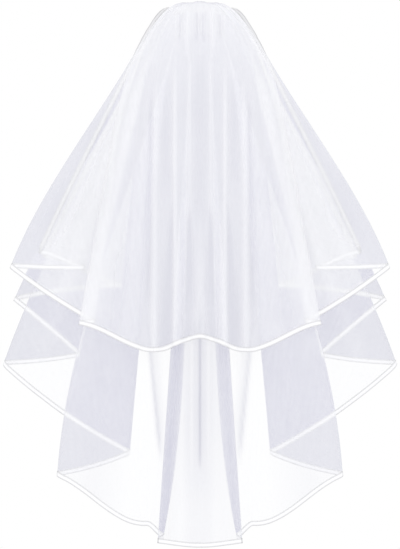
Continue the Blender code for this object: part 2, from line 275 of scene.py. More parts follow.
CREASES = {
    # Back of the upper tier, from the middle outwards
    ("upper", "middle", "back_out"): (
        (0, 0, 0, 46, 60, 0.0, 0.0, -0.055, 30, -20, -110, -280),
        (0, 5, 5, 3.0, 3, -1.2, -0.5, -0.10, -6, -16, -46, -66),
        (0, 31, 34, 3.2, 4, -1.2, -0.5, -0.09, -6, -16, -40, -60),
        (0, 19, 17, 3.5, 3, 1.2, 0.9, 0.03, 6, -10, -60, -90),
        (0, 0, 0, 8, 9, -0.8, -0.15, -0.045, -60, -120, -310, -350),
        (0, 0, 0, 5, 8, 1.2, 0.50, 0.04, -340, -420, *DOWN),
        (0, 16, 17, 3.0, 4, 1.0, 0.7, 0.03, -50, -120, -310, -340),
        (0, 14, 17, -9, 10, -2.4, -0.60, -0.07, -270, -350, *DOWN),
        (0, 31, 33, -6, 7, 1.8, 0.7, 0.03, -290, -380, *DOWN),
        (0, 38, 38, 3.0, 3.4, 2.2, 1.6, 0.04, -60, -180, *DOWN),
        (0, 31, 50, -12, 15, -2.8, -0.62, -0.08, -250, -360, *DOWN),
        (0, 52, 52, 5.5, 7.0, -1.0, -0.25, -0.05, -80, -160, -250, -290),
        (0, 66, 69, 3.4, 5.0, 2.0, 1.1, 0.04, -100, -180, *DOWN),
        (-1, 74, 80, 1.5, 5.5, -2.6, -0.45, -0.13, -130, -180, -400, -500),
        (1, 74, 80, 1.5, 5.0, -2.2, -0.4, -0.12, -125, -190, -420, -520),
        (0, 71, 92, 1.4, 2.2, 0.8, 0.2, -0.12, -220, -330, *DOWN),
        (0, 74, 112, 6, 12, 0.8, 0.2, 0.02, -90, -190, -330, -470),
    ),
    ("upper", "low_point", "back_out"): (
        (0, 84, 172, 5, 14, 1.2, 1.0, 0.05, -90, -180, *DOWN),
        (-1, 80, 128, 4, 11, -1.4, -0.2, -0.03, -180, -300, *DOWN),
        (1, 80, 132, 4, 11, -1.2, -0.2, -0.03, -200, -310, *DOWN),
    ),
    # Side panels of the upper tier
    ("upper", "back_in", "side_out"): (
        (1, 92, 206, 5, 10, 1.4, 0.5, 0.0, -160, -260, -420, -520),
        (-1, 92, 212, 5, 11, 1.6, 0.5, 0.0, -150, -250, -400, -520),
        (0, 98, 262, 7, 20, 0.0, -0.4, -0.03, -110, -180, -330, -400),
    ),
    ("upper", "side_out", "side_in"): (
        (0, 94, 232, 4, 9, 1.2, 0.7, 0.0, -100, -220, *DOWN),
    ),
    # Middle of the lower tier, inside its pleats
    ("lower", "middle", "pleat_out"): (
        (0, 0, 0, 32, 54, 0.4, 1.3, -0.10, -440, -500, *DOWN),
        (0, 0, 0, 26, 36, 0.0, 1.0, -0.12, -440, -500, -620, -800),
        (0, 0, 0, 2.6, 1.8, -2.2, 1.6, -0.17, -380, -480, -690, -702),
        (0, 12, 13, 2.2, 3.0, 1.6, -0.5, 0.07, -440, -500, -640, -740),
        (0, 21, 36, 3.0, 3.0, -1.2, 0.5, -0.05, -440, -500, -600, -700),
        (-1, 18, 29, 3.0, 6.0, 1.4, -0.2, 0.03, -560, -640, *DOWN),
        (1, 17, 24, 3.0, 7.0, 1.7, -0.2, 0.03, -540, -650, *DOWN),
        (-1, 6, 54, 6, 9, 0.0, -0.85, -0.12, -400, -520, *DOWN),
        (1, 6, 54, 6, 9, 0.0, -0.50, -0.06, -400, -520, *DOWN),
    ),
    # Creases outside the pleats, with painted shade between them and the pleat
    ("lower", "pleat_in", "back_out"): (
        (0, 122, 49, 3.4, 3.4, 1.8, 1.6, -0.24, -440, -500, -660, -708),
        (0, 105, 46, 7, 7, -0.8, 0.9, -0.10, -440, -500, -640, -700),
    ),
    ("lower", "step", "back_out"): (
        (1, 60, 104, 8, 12, 2.0, -0.1, 0.01, -420, -560, *DOWN),
        (-1, 62, 110, 9, 14, 2.4, -0.1, 0.01, -440, -580, *DOWN),
        (0, 50, 168, 8, 13, -1.8, 0.1, -0.01, -380, -560, *DOWN),
        (0, 60, 165, 10, 44, 0.0, 0.5, -0.08, -560, -690, *DOWN),
    ),
    # Side panels of the lower tier
    ("lower", "back_out", "back_in"): (
        (0, 43, 165, 8, 14, 1.8, 0.0, 0.0, -360, -560, *DOWN),
    ),
    ("lower", "back_in", "side_out"): (
        (1, 62, 196, 10, 20, 2.0, 0.25, 0.02, -300, -460, *DOWN),
        (-1, 60, 214, 10, 18, 2.3, 0.3, 0.02, -280, -430, *DOWN),
        (0, 70, 262, 8, 12, 1.4, 0.35, 0.02, -280, -420, *DOWN),
    ),
    ("lower", "side_out", "side_in"): (
        (0, 76, 238, 7, 14, -1.6, -0.1, 0.0, -230, -430, *DOWN),
    ),
    ("lower", "side_in", "fore_out"): (
        (0, 81, 238, 7, 14, 1.7, 0.2, 0.0, -200, -370, *DOWN),
    ),
    ("lower", "fore_out", "fore_in"): (
        (0, 85, 206, 7, 18, -1.8, 0.0, 0.0, -180, -330, *DOWN),
    ),
}

# How sharply the cloth is creased along each fold line, from 0, soft, to 1, pressed.
PRESSED = {
    "upper": {"side_out": 0.8, "side_in": 0.3},
    "lower": {"pleat_out": 1.0, "pleat_in": 0.9, "back_out": 0.7, "back_in": 0.5,
              "side_out": 0.9, "side_in": 0.4, "fore_out": 0.9, "fore_in": 0.4},
}
PRESSED_WIDE = 1.5
PRESSED_NET = 1.6
# painted shade along a sharply pressed fold line
PRESSED_PAINTED_SHADE = -0.17
PRESSED_BEGIN = 50.0               # how far below the heading a pressed line has started
PRESSED_FULL = 220.0

PUFF_PITCH = 25.0                  # soft puffs of the cloth where it rolls over the heading
PUFF_DEEP = 1.0
PUFF_FADE = 16.0
EDGE_OF_STRETCH = 0.05             # a crease fades out this near to its stretch's two lines
NARROWEST = 0.6


def smooth(value, low, high):
    """0 below low, 1 above high, and a soft step between them."""
    return soft_step(np.clip((value - low) / (high - low), 0.0, 1.0))


def crease_maps(tier, side, col, x, z):
    """Height, extra net and painted shade that the creases give each point of one half."""
    names = [fold.name for fold in tier.folds]
    height, net, shade = (np.zeros_like(x) for _ in range(3))
    down = (HEAD_Z - z) / (HEAD_Z - col["z"])
    for (tier_name, first_name, last_name), rows in CREASES.items():
        if tier_name != tier.name:
            continue
        first, last = names.index(first_name), names.index(last_name)
        inside = smooth(col["panel"], first, first + EDGE_OF_STRETCH) if first else 1.0
        inside = inside * (1.0 - smooth(col["panel"], last - EDGE_OF_STRETCH, last))
        inside = inside * (col["panel"] <= last)
        for crease in (Crease(*row) for row in rows):
            if crease.side == -side:
                continue
            line = crease.head_x + (crease.hem_x - crease.head_x) * down
            wide = crease.head_wide + (crease.hem_wide - crease.head_wide) * down
            bell = np.exp(-((x - line) / np.maximum(wide, NARROWEST)) ** 2) * inside
            begun = smooth(-z, -crease.begin, -crease.full)
            bell *= begun * (1.0 - smooth(-z, -crease.fade, -crease.end))
            height += crease.deep * bell
            net += crease.net * bell
            shade += crease.shade * bell
    return height, net, shade


def pressed_lines(tier, col, fallen):
    """1 on a sharply pressed fold line, 0 away from it, for one half."""
    hem = np.stack((col["x"], col["y"], col["z"]), axis=1)
    steps = np.linalg.norm(np.diff(hem, axis=0), axis=1)
    along = np.concatenate(([0.0], np.cumsum(steps)))
    spread = fallen / fallen[-1]
    lines = np.zeros_like(fallen)
    for index, fold in enumerate(tier.folds):
        sharp = PRESSED[tier.name].get(fold.name, 0.0)
        away = np.abs(along - np.interp(index, col["panel"], along)) * spread
        lines = np.maximum(lines, sharp * np.exp(-(away / PRESSED_WIDE) ** 2))
    return lines * smooth(fallen, PRESSED_BEGIN, PRESSED_FULL)


def soft_relief(tier, col, start_x, fallen):
    """How far gathers, flutes and puffs stand out of the plain sheet, on one half."""
    deep = (GATHER_SEAM + GATHER_DEEP * fallen / GATHER_FALL) * np.exp(-fallen / GATHER_FADE)
    flute = np.cos(2.0 * math.pi * col["x"] / tier.flute_pitch)
    window = np.clip(1.0 - col["x"] / tier.flute_reach, 0.0, 1.0) ** 0.5
    flutes = flute * tier.flute_deep * window * (fallen / fallen[-1])
    puffs = np.cos(2.0 * math.pi * start_x / PUFF_PITCH) * PUFF_DEEP * np.exp(-fallen / PUFF_FADE)
    return col["gather"] * deep + flutes + puffs


# %% [markdown]
# ## The sheet of one tier
#
# The cloth comes up out of the tape, rolls over and falls. The surface function puts the
# rows of the roll and the rows of the fall on each other, mirrors the half, and lifts the
# small folds along the normals. What the folds do to the net, more of it or painted shade
# on it, is kept for each point, and so is how far the cloth has fallen there.

# %% Surface of a tier
def unit(vectors):
    """The same directions with a length of one."""
    return vectors / np.linalg.norm(vectors, axis=-1, keepdims=True)


def tangents(points):
    """Directions along the first axis, halfway between the steps before and after."""
    steps = unit(np.diff(points, axis=0))
    return unit(np.concatenate((steps[:1], steps[:-1] + steps[1:], steps[-1:])))


def normals_of(grid):
    """Unit normals of a grid of points, facing away from the head."""
    across = tangents(grid.swapaxes(0, 1)).swapaxes(0, 1)
    return unit(np.cross(tangents(grid), across))


def mirrored(half):
    """The whole width from one half: the half turned over in X, then the half itself."""
    other = half[:, :0:-1].copy()
    other[:, :, 0] *= -1.0
    return np.concatenate((other, half), axis=1)


Sheet = namedtuple("Sheet", "points net shade fallen")


def tier_surface(tier):
    """Middle surface of a tier, rows by columns, with its net, shade and fall."""
    col = half_columns(tier.folds, tier.finer)
    share = col["share"]
    way_out = FAN * np.arctan2(col["head_x"] - GATHER_HALF * share, bar_y(share) - col["head_y"])
    seam_x = GATHER_HALF * share + (ROLL_BACK - tier.roll_deep) * np.sin(way_out)
    seam_z = bar_z(seam_x / GATHER_HALF) + 0.5 * BAR_HIGH + SEAM + TAPE_HIGH + SEAM
    roll = tier.roll_high - tier.roll_low * share ** 2
    top_z = seam_z + ROLL_LEAD + roll

    def on_roll(angle):
        out = ROLL_BACK - tier.roll_deep * math.cos(angle)
        x = GATHER_HALF * share + out * np.sin(way_out)
        y = bar_y(share) - out * np.cos(way_out)
        z = top_z - roll * (1.0 - math.sin(angle))
        return np.stack((x, y, z), axis=1)

    rows = [on_roll(0.5 * math.pi * step / ROLL_STEPS) for step in range(ROLL_STEPS)]
    rows.insert(0, rows[0] - (0.0, 0.0, ROLL_LEAD))
    start_x, top_y, roof_z = on_roll(0.5 * math.pi).T

    cloth_end = col["z"] + 0.5 * RIBBON_WIDE + SEAM
    hem_fall = roof_z - cloth_end
    head_fall = roof_z - HEAD_Z
    reach = np.hypot(col["head_x"] - start_x, col["head_y"] - top_y)
    bow_x = reach * np.sin(way_out) - (col["head_x"] - start_x)
    bow_y = -reach * np.cos(way_out) - (col["head_y"] - top_y)
    falls = [np.zeros_like(share)] * len(rows)
    for row in range(tier.rows + 1):
        fallen = hem_fall * (row / tier.rows) ** ROW_POWER
        x = fall(start_x, col["head_x"], col["x"], bow_x, fallen, head_fall, hem_fall, col["flare"])
        y = fall(top_y, col["head_y"], col["y"], bow_y, fallen, head_fall, hem_fall, 1.0)
        rows.append(np.stack((x, y, roof_z - fallen), axis=1))
        falls.append(fallen)
    falls = np.array(falls)
    half = np.array(rows)
    sides = []
    for side in (-1, 1):
        height, net, shade = crease_maps(tier, side, col, half[:, :, 0], half[:, :, 2])
        pressed = pressed_lines(tier, col, falls)
        height += soft_relief(tier, col, start_x, falls)
        net += PRESSED_NET * pressed
        shade += PRESSED_PAINTED_SHADE * pressed
        sides.append((height, net, shade, falls))
    maps = [np.concatenate((left[:, :0:-1], right), axis=1) for left, right in zip(*sides)]
    base = mirrored(half)
    points = base + normals_of(base) * maps[0][:, :, None]
    return Sheet(points, *maps[1:])


surfaces = {tier.name: tier_surface(tier) for tier in (UPPER, LOWER)}
for name, sheet in surfaces.items():
    hem = np.linalg.norm(np.diff(sheet.points[-1], axis=0), axis=1).sum() * MM
    print(name, "grid", sheet.points.shape[:2], "hem in metres", round(float(hem), 3))


# %% [markdown]
# ## Shader groups that the finishes share
#
# Three effects come back in several materials. The net's threads run round six-sided
# holes, which two crossed grids of points give: each place belongs to the nearer point, and
# its distance from that cell's border says whether it is thread or hole. A soft mottle
# keeps every surface from looking too even. Fine ribs give satin and tape their weave. Each
# is a node group, built once, with named inputs.

# %% Helpers for nodes
# A Mix node has sockets for every kind of data: its vectors' and its colours' places.
VECTOR_A, VECTOR_B, VECTOR_OUT = 4, 5, 1
COLOUR_A, COLOUR_B, COLOUR_OUT = 6, 7, 2


def fill(tree, node, inputs):
    """Set inputs of a node by index or name: a link for a socket, else a plain value."""
    for index, value in dict(inputs).items():
        if isinstance(value, bpy.types.NodeSocket):
            tree.links.new(value, node.inputs[index])
        else:
            node.inputs[index].default_value = value


def add(tree, kind, inputs=(), output=0, **settings):
    """A new node with its settings and inputs. Gives back one of its outputs."""
    node = tree.nodes.new(kind)
    for name, value in settings.items():
        setattr(node, name, value)
    fill(tree, node, inputs)
    return node.outputs[output]


def new_group(name, numbers, output):
    """An empty shader group: a vector and named numbers go in, one number comes out."""
    tree = bpy.data.node_groups.new(name, "ShaderNodeTree")
    tree.interface.new_socket("Vector", in_out="INPUT", socket_type="NodeSocketVector")
    for label, default in numbers.items():
        socket = tree.interface.new_socket(label, in_out="INPUT", socket_type="NodeSocketFloat")
        socket.default_value = default
    tree.interface.new_socket(output, in_out="OUTPUT", socket_type="NodeSocketFloat")
    return tree, tree.nodes.new("NodeGroupInput").outputs, tree.nodes.new("NodeGroupOutput")


def maths(tree, operation, *values):
    """The result of a Math node on sockets or numbers."""
    return add(tree, "ShaderNodeMath", enumerate(values), operation=operation)


def vector_maths(tree, operation, *values):
    """The result of a Vector Math node: a vector, or a number where the operation gives one."""
    output = "Value" if operation in ("LENGTH", "DOT_PRODUCT") else "Vector"
    return add(tree, "ShaderNodeVectorMath", enumerate(values), output, operation=operation)


def ranged(tree, value, from_low, from_high, to_low, to_high):
    """A value moved from one range to another, with a soft step at both ends."""
    values = enumerate((value, from_low, from_high, to_low, to_high))
    return add(tree, "ShaderNodeMapRange", values, interpolation_type="SMOOTHSTEP")


# %% Group: six-sided net
HEX_HALF = (0.5, 0.5 * math.sqrt(3.0), 1.0)     # half a cell of either grid of points
ALONG_X = (1.0, 0.0, 0.0)


def net_group():
    """1 on the threads round six-sided holes and 0 in the holes."""
    tree, start, end = new_group("six_sided_net", {"Pitch": 0.0011, "Thread": 0.1}, "Threads")
    low = tuple(-value for value in HEX_HALF)
    shift = (HEX_HALF[0], HEX_HALF[1], 0.0)
    scaled = vector_maths(tree, "DIVIDE", start["Vector"], start["Pitch"])
    first = vector_maths(tree, "WRAP", scaled, HEX_HALF, low)
    second = vector_maths(tree, "WRAP", vector_maths(tree, "ADD", scaled, shift), HEX_HALF, low)
    away = [vector_maths(tree, "LENGTH", place) for place in (second, first)]
    is_second = maths(tree, "LESS_THAN", *away)
    choice = {"Factor": is_second, VECTOR_A: first, VECTOR_B: second}
    nearer = add(tree, "ShaderNodeMix", choice, VECTOR_OUT, data_type="VECTOR")
    corner = vector_maths(tree, "ABSOLUTE", nearer)
    slanted = vector_maths(tree, "DOT_PRODUCT", corner, shift)
    straight = vector_maths(tree, "DOT_PRODUCT", corner, ALONG_X)
    border = maths(tree, "SUBTRACT", 0.5, maths(tree, "MAXIMUM", slanted, straight))
    fill(tree, end, {"Threads": ranged(tree, border, 0.0, start["Thread"], 1.0, 0.0)})
    return tree


# %% Group: soft mottle
CLOUD_RANGE = (0.3, 0.7)           # the noise's values that are spread from Low to High


def mottle_group():
    """A soft cloudy value between Low and High, drawn out by the vector's own scale."""
    numbers = {"Scale": 100.0, "Low": 0.0, "High": 1.0}
    tree, start, end = new_group("soft_mottle", numbers, "Value")
    clouds = {"Vector": start["Vector"], "Scale": start["Scale"], "Detail": 3.0, "Roughness": 0.55}
    noise = add(tree, "ShaderNodeTexNoise", clouds, "Fac")
    fill(tree, end, {"Value": ranged(tree, noise, *CLOUD_RANGE, start["Low"], start["High"])})
    return tree


# %% Group: fine ribs
def rib_group():
    """Ribs across the vector's X, with a little waver, from 0 in a groove to 1 on a rib."""
    tree, start, end = new_group("fine_ribs", {"Pitch": 0.001, "Waver": 0.1}, "Height")
    noise = add(tree, "ShaderNodeTexNoise", {"Vector": start["Vector"], "Scale": 300.0}, "Fac")
    straight = vector_maths(tree, "DOT_PRODUCT", start["Vector"], ALONG_X)
    turns = maths(tree, "DIVIDE", straight, start["Pitch"])
    waver = maths(tree, "MULTIPLY", noise, start["Waver"])
    angle = maths(tree, "MULTIPLY", maths(tree, "ADD", turns, waver), 2.0 * math.pi)
    fill(tree, end, {"Height": maths(tree, "MULTIPLY_ADD", maths(tree, "SINE", angle), 0.5, 0.5)})
    return tree


NET = net_group()
MOTTLE = mottle_group()
RIBS = rib_group()
print("shader groups:", NET.name, MOTTLE.name, RIBS.name)


# %% Helpers for materials
def mottled(tree, place, scale, low, high):
    """The shared mottle, put into a material."""
    inputs = {"Vector": place, "Scale": scale, "Low": low, "High": high}
    return add(tree, "ShaderNodeGroup", inputs, node_tree=MOTTLE)


def ribbed(tree, place, pitch, waver):
    """The shared ribs, put into a material."""
    inputs = {"Vector": place, "Pitch": pitch, "Waver": waver}
    return add(tree, "ShaderNodeGroup", inputs, node_tree=RIBS)


def new_material(name):
    """A material with its node tree and shader."""
    material = bpy.data.materials.new(name)
    material.use_nodes = True
    return material, material.node_tree, material.node_tree.nodes["Principled BSDF"]


def coordinates(tree, output, scale=None):
    """Object or UV coordinates, through a Mapping node where they are scaled."""
    source = add(tree, "ShaderNodeTexCoord", output=output)
    if scale is None:
        return source
    return add(tree, "ShaderNodeMapping", {"Vector": source, "Scale": scale})


def attribute(tree, name):
    """A number that the mesh carries on its points."""
    return add(tree, "ShaderNodeAttribute", output="Fac", attribute_name=name)


def tinted(tree, colour, value, dark=(0.0, 0.0, 0.0)):
    """A colour that a value below 1 moves towards a dark one."""
    inputs = {"Factor": value, COLOUR_A: (*dark, 1.0), COLOUR_B: (*colour, 1.0)}
    return add(tree, "ShaderNodeMix", inputs, COLOUR_OUT, data_type="RGBA")


def bumped(tree, height, distance, strength, below=None):
    """A normal from a height in metres times a distance, on top of another normal."""
    inputs = {"Height": height, "Distance": distance, "Strength": strength}
    if below is not None:
        inputs["Normal"] = below
    return add(tree, "ShaderNodeBump", inputs)


# %% [markdown]
# ## The finish of the net
#
# Tulle is white and matt, and mostly holes. Its opacity comes from three things: thread or
# hole, how many threads lie behind each other where the cloth is gathered, and a faint
# streaking down its length. One layer lets a share of the light through, so a fuller place
# lets through that share to the power of its fullness. Threads also pass on much of the
# light that meets them, so the net's shadow is made thinner than the net itself.

# %% Material: tulle
NET_PITCH = 0.0011
NET_THREAD = 0.105
HOLE_COVER = 0.29                  # share of the light that one layer stops in its holes
THREAD_COVER = 0.49                # and on its threads
LIGHT_PASSED_ON = 0.6
TULLE_WHITE = (0.94, 0.944, 0.962)
TULLE_PAINTED_SHADE = (0.0, 0.0, 0.18)      # painted shade in the net's folds leans towards this lavender
STREAK_STRETCH = (1.0, 0.05, 1.0)  # draws the mottle out down the cloth's length


def tulle_material():
    """White net, seen through, fuller in its gathers, with painted shade in its deep folds."""
    material, tree, shader = new_material("tulle")
    net = {"Vector": coordinates(tree, "UV"), "Pitch": NET_PITCH, "Thread": NET_THREAD}
    threads = add(tree, "ShaderNodeGroup", net, node_tree=NET)
    drawn_out = coordinates(tree, "UV", STREAK_STRETCH)
    streaks = mottled(tree, drawn_out, scale=160.0, low=0.96, high=1.04)
    cloud = mottled(tree, coordinates(tree, "Object"), scale=14.0, low=0.94, high=1.06)
    uneven = maths(tree, "MULTIPLY", streaks, cloud)
    layers = maths(tree, "MULTIPLY", attribute(tree, "fullness"), uneven)
    cover = ranged(tree, threads, 0.0, 1.0, HOLE_COVER, THREAD_COVER)
    passed = maths(tree, "POWER", maths(tree, "SUBTRACT", 1.0, cover), layers)
    opacity = maths(tree, "SUBTRACT", 1.0, passed)
    ray = tree.nodes.new("ShaderNodeLightPath").outputs
    indirect = maths(tree, "MAXIMUM", ray["Is Shadow Ray"], ray["Is Diffuse Ray"])
    thinner = maths(tree, "SUBTRACT", 1.0, maths(tree, "MULTIPLY", indirect, LIGHT_PASSED_ON))
    fill(tree, shader, {
        # painted shade: the shade attribute darkens the net's colour in creases, pressed lines and
        # on the roll's top
        "Base Color": tinted(tree, TULLE_WHITE, attribute(tree, "shade"), TULLE_PAINTED_SHADE),
        "Roughness": 0.78,
        "Alpha": maths(tree, "MULTIPLY", opacity, thinner),
        "Sheen Weight": 0.15,
        "Sheen Roughness": 0.5,
        "Normal": bumped(tree, threads, distance=0.00005, strength=0.1),
    })
    return material


# %% [markdown]
# ## The finishes of the ribbon, thread, tape and comb
#
# Satin ribbon has a smooth face with a soft gloss. Folded over the cloth's edge and sewn
# down, it puckers between the stitches, and painted shade darkens it along both of its own
# edges, where it turns under, at sharp folds of the cloth and down the side edges. The
# thread is twisted, so ribs run slantwise round it. The tape at the heading is ribbed
# across, with painted shade between its ribs, and the comb is clear moulded plastic.

# %% Materials: satin, thread, tape, comb
PURE_WHITE = (1.0, 1.0, 1.0)
SATIN_WHITE = (0.99, 0.99, 1.0)
PLASTIC_WHITE = (0.97, 0.97, 1.0)
EDGE_PAINTED_SHADE = 0.74                   # painted shade: how much of the ribbon's white its turned edges keep
EDGE_SHARE = 0.36                  # share of its width that each edge takes
EDGE_OUTER = 0.09                  # share at the very edge that has the full painted shade
PUCKER_STRETCH = (1.0, 0.002, 1.0)  # draws the mottle out across the ribbon
GROOVE_PAINTED_SHADE = 0.82                 # painted shade: white that is left in the tape's grooves
GROOVE_TOP = 0.6                   # height on its ribs at which they are fully white


def satin_material():
    """Narrow white satin with painted shade on its turned edges, and fine puckers."""
    material, tree, shader = new_material("satin")
    along = coordinates(tree, "UV")
    across = vector_maths(tree, "DOT_PRODUCT", along, (0.0, 1.0, 0.0))
    from_middle = maths(tree, "ABSOLUTE", maths(tree, "SUBTRACT", across, 0.5))
    from_edge = maths(tree, "SUBTRACT", 0.5, from_middle)
    # painted shade along both turned edges of the ribbon
    edges = ranged(tree, from_edge, EDGE_OUTER, EDGE_SHARE, EDGE_PAINTED_SHADE, 1.0)
    cloud = mottled(tree, along, scale=140.0, low=0.975, high=1.0)
    uneven = maths(tree, "MULTIPLY", edges, cloud)
    # painted shade from the mesh: darker at sharp folds and down the side edges
    white = maths(tree, "MULTIPLY", uneven, attribute(tree, "shade"))
    drawn_out = coordinates(tree, "UV", PUCKER_STRETCH)
    puckers = mottled(tree, drawn_out, scale=330.0, low=0.0, high=1.0)
    puckered = bumped(tree, puckers, distance=0.0006, strength=0.15)
    floats = ribbed(tree, along, pitch=0.0006, waver=0.6)
    fill(tree, shader, {
        "Base Color": tinted(tree, SATIN_WHITE, white),
        "Roughness": mottled(tree, along, scale=420.0, low=0.32, high=0.5),
        "Sheen Weight": 0.1,
        "Normal": bumped(tree, floats, distance=0.00003, strength=0.15, below=puckered),
    })
    return material


def thread_material():
    """Twisted sewing thread."""
    material, tree, shader = new_material("thread")
    place = coordinates(tree, "Object")
    cloud = mottled(tree, place, scale=600.0, low=0.84, high=0.95)
    twist = ribbed(tree, place, pitch=0.0005, waver=0.8)
    fill(tree, shader, {
        "Base Color": tinted(tree, PURE_WHITE, cloud),
        "Roughness": 0.55,
        "Normal": bumped(tree, twist, distance=0.0001, strength=0.5),
    })
    return material


def tape_material():
    """Tape at the heading, ribbed across its length, with painted shade between the ribs."""
    material, tree, shader = new_material("tape")
    along = coordinates(tree, "UV")
    ribs = ribbed(tree, along, pitch=0.0011, waver=0.15)
    # painted shade in the hollows between the tape's ribs
    grooves = ranged(tree, ribs, 0.0, GROOVE_TOP, GROOVE_PAINTED_SHADE, 1.0)
    cloud = mottled(tree, along, scale=200.0, low=0.96, high=1.0)
    fill(tree, shader, {
        "Base Color": tinted(tree, SATIN_WHITE, maths(tree, "MULTIPLY", grooves, cloud)),
        "Roughness": 0.6,
        "Normal": bumped(tree, ribs, distance=0.0002, strength=0.6),
    })
    return material


def comb_material():
    """Clear moulded plastic, a little cloudy, with faint flow marks."""
    material, tree, shader = new_material("comb_plastic")
    place = coordinates(tree, "Object")
    cloud = mottled(tree, place, scale=70.0, low=0.9, high=0.98)
    flow = mottled(tree, place, scale=160.0, low=0.0, high=1.0)
    fill(tree, shader, {
        "Base Color": tinted(tree, PLASTIC_WHITE, cloud),
        "Roughness": mottled(tree, place, scale=240.0, low=0.12, high=0.26),
        "Transmission Weight": 0.8,
        "IOR": 1.49,
        "Normal": bumped(tree, flow, distance=0.0002, strength=0.2),
    })
    return material


tulle = tulle_material()
satin = satin_material()
thread = thread_material()
tape = tape_material()
comb_plastic = comb_material()
print("materials:", [material.name for material in (tulle, satin, thread, tape, comb_plastic)])

# %% [markdown]
# ## Cloth objects
#
# A thin sheet is enough for net: light goes through it, so a second wall behind it would
# count as another layer of cloth. Attributes on its points carry what the material needs:
# "fullness" counts the layers of net that its gathers and creases take up there, and
# "shade" holds the painted shade that darkens the net's colour in its folds and on the
# roll's top. The UV map is the flat cut, in metres: each column of points is a spoke of a
# fan, as long as the cloth is there. The holes follow that map.

# %% Mesh helpers
FULLNESS_TOP = 1.6                 # extra layers of net in the gathers at the heading
FULLNESS_FADE = 70.0               # they thin out over this fall
LEAST_FULLNESS = 0.15
TOP_SHADE = 0.16                   # the roll's top is duller, where the light only grazes it
TOP_SHADE_FADE = 1.5


def grid_faces(rows, columns, closed=False):
    """Quads of a grid of points, whose rows can be rings."""
    faces = []
    for here in range(0, (rows - 1) * columns, columns):
        after = here + columns
        for column in range(columns if closed else columns - 1):
            beside = (column + 1) % columns
            faces.append((here + column, here + beside, after + beside, after + column))
    return faces


def mesh_object(name, points, faces, material):
    """An object from points in millimetres, shaded smooth, with its material."""
    mesh = bpy.data.meshes.new(name)
    mesh.from_pydata((np.asarray(points) * MM).tolist(), [], faces)
    mesh.validate()
    mesh.shade_smooth()
    mesh.materials.append(material)
    obj = bpy.data.objects.new(name, mesh)
    bpy.context.scene.collection.objects.link(obj)
    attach(obj, BODY)
    return obj


def outward_faces(obj):
    """Turn all faces of a closed mesh outwards."""
    work = bmesh.new()
    work.from_mesh(obj.data)
    bmesh.ops.recalc_face_normals(work, faces=work.faces[:])
    work.to_mesh(obj.data)
    work.free()


def point_attribute(obj, name, values):
    """A number on each point of a mesh, for the material to read."""
    numbers = obj.data.attributes.new(name, "FLOAT", "POINT")
    numbers.data.foreach_set("value", np.asarray(values, dtype=np.float32).ravel())


def uv_map(obj, pairs):
    """A UV map from one pair of numbers for each point."""
    layer = obj.data.uv_layers.new(name="UVMap")
    corners = np.empty(len(obj.data.loops), dtype=np.int32)
    obj.data.loops.foreach_get("vertex_index", corners)
    layer.data.foreach_set("uv", np.asarray(pairs, dtype=np.float32)[corners].ravel())


def flat_cut(points):
    """The grid laid flat: each column a spoke of a fan, as long as the cloth is there."""
    down = np.linalg.norm(np.diff(points, axis=0), axis=2)
    length = np.concatenate((np.zeros((1, points.shape[1])), np.cumsum(down, axis=0)))
    chord = np.linalg.norm(np.diff(points[-1], axis=0), axis=1)
    radius = 0.5 * (length[-1, 1:] + length[-1, :-1])
    rise = np.diff(length[-1])
    turn = np.sqrt(np.clip(chord ** 2 - rise ** 2, 0.0, None)) / radius
    angle = np.concatenate(([0.0], np.cumsum(turn)))
    angle -= 0.5 * angle[-1]
    return np.stack((length * np.sin(angle), -length * np.cos(angle)), axis=2) * MM


# %% The two tiers of net
def sheet_object(tier, material):
    """A tier of net as one thin sheet."""
    sheet = surfaces[tier.name]
    rows, columns = sheet.points.shape[:2]
    faces = grid_faces(rows, columns)
    obj = mesh_object(tier.name + "_tulle", sheet.points.reshape(-1, 3), faces, material)
    cut = flat_cut(sheet.points).reshape(-1, 2)
    uv_map(obj, cut)
    gathered = FULLNESS_TOP * np.exp(-sheet.fallen / FULLNESS_FADE)
    point_attribute(obj, "fullness", np.maximum(1.0 + gathered + sheet.net, LEAST_FULLNESS))
    roll = TOP_SHADE * np.exp(-sheet.fallen / TOP_SHADE_FADE) * (tier.name == "upper")
    # painted shade: creases, pressed lines and the roll's top darken the net's colour
    point_attribute(obj, "shade", np.clip(1.0 + sheet.shade - roll, 0.0, 1.0))
    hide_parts(tier.name + "_tier")
    print(obj.name, "flat cut in metres", np.round(cut.max(axis=0) - cut.min(axis=0), 3))
    return obj


sheets = {tier.name: sheet_object(tier, tulle) for tier in (UPPER, LOWER)}

# %% [markdown]
# ## Ribbon round the edges
#
# The ribbon is folded in half over the cloth's edge, so it is a flat tube that follows
# the side edge down, turns along the hem and goes up the other side. Its path is the edge of
# the net's own grid, so it goes round every fold as the net does. At each point of the path
# a rounded flat section is laid, and its middle is lifted a little to and fro, because
# ribbon that is sewn on puckers.

# %% Path of a binding
FIRST_ROW = ROLL_STEPS + 4         # row of the net's grid at which the ribbon starts
FOLD_PAINTED_SHADE = 0.3                    # painted shade: how much of its white the ribbon loses at a sharp fold
FOLD_REACH = 1.6                   # half the length along it that a fold dulls
FOLD_TURN = (0.5, 1.6)             # turn of the path in that length, from none to all of it
SIDE_PAINTED_SHADE = 0.20                   # painted shade on the side edges, which hang in the folds' shade

# The last field is the painted shade along the ribbon.
Path = namedtuple("Path", "edge outward normal length dull")


def edge_path(points):
    """Points, inward neighbours and the kind of each step along side edges and hem."""
    rows, columns = points.shape[:2]
    side = range(FIRST_ROW, rows - 1)
    edge = [points[row, 0] for row in side]
    inner = [points[row, 1] for row in side]
    edge += list(points[rows - 1])
    inner += list(points[rows - 2])
    edge += [points[row, columns - 1] for row in reversed(side)]
    inner += [points[row, columns - 2] for row in reversed(side)]
    on_hem = np.zeros(len(edge))
    on_hem[len(side) + 1:-len(side) - 1] = 1.0
    return np.array(edge), np.array(inner), on_hem


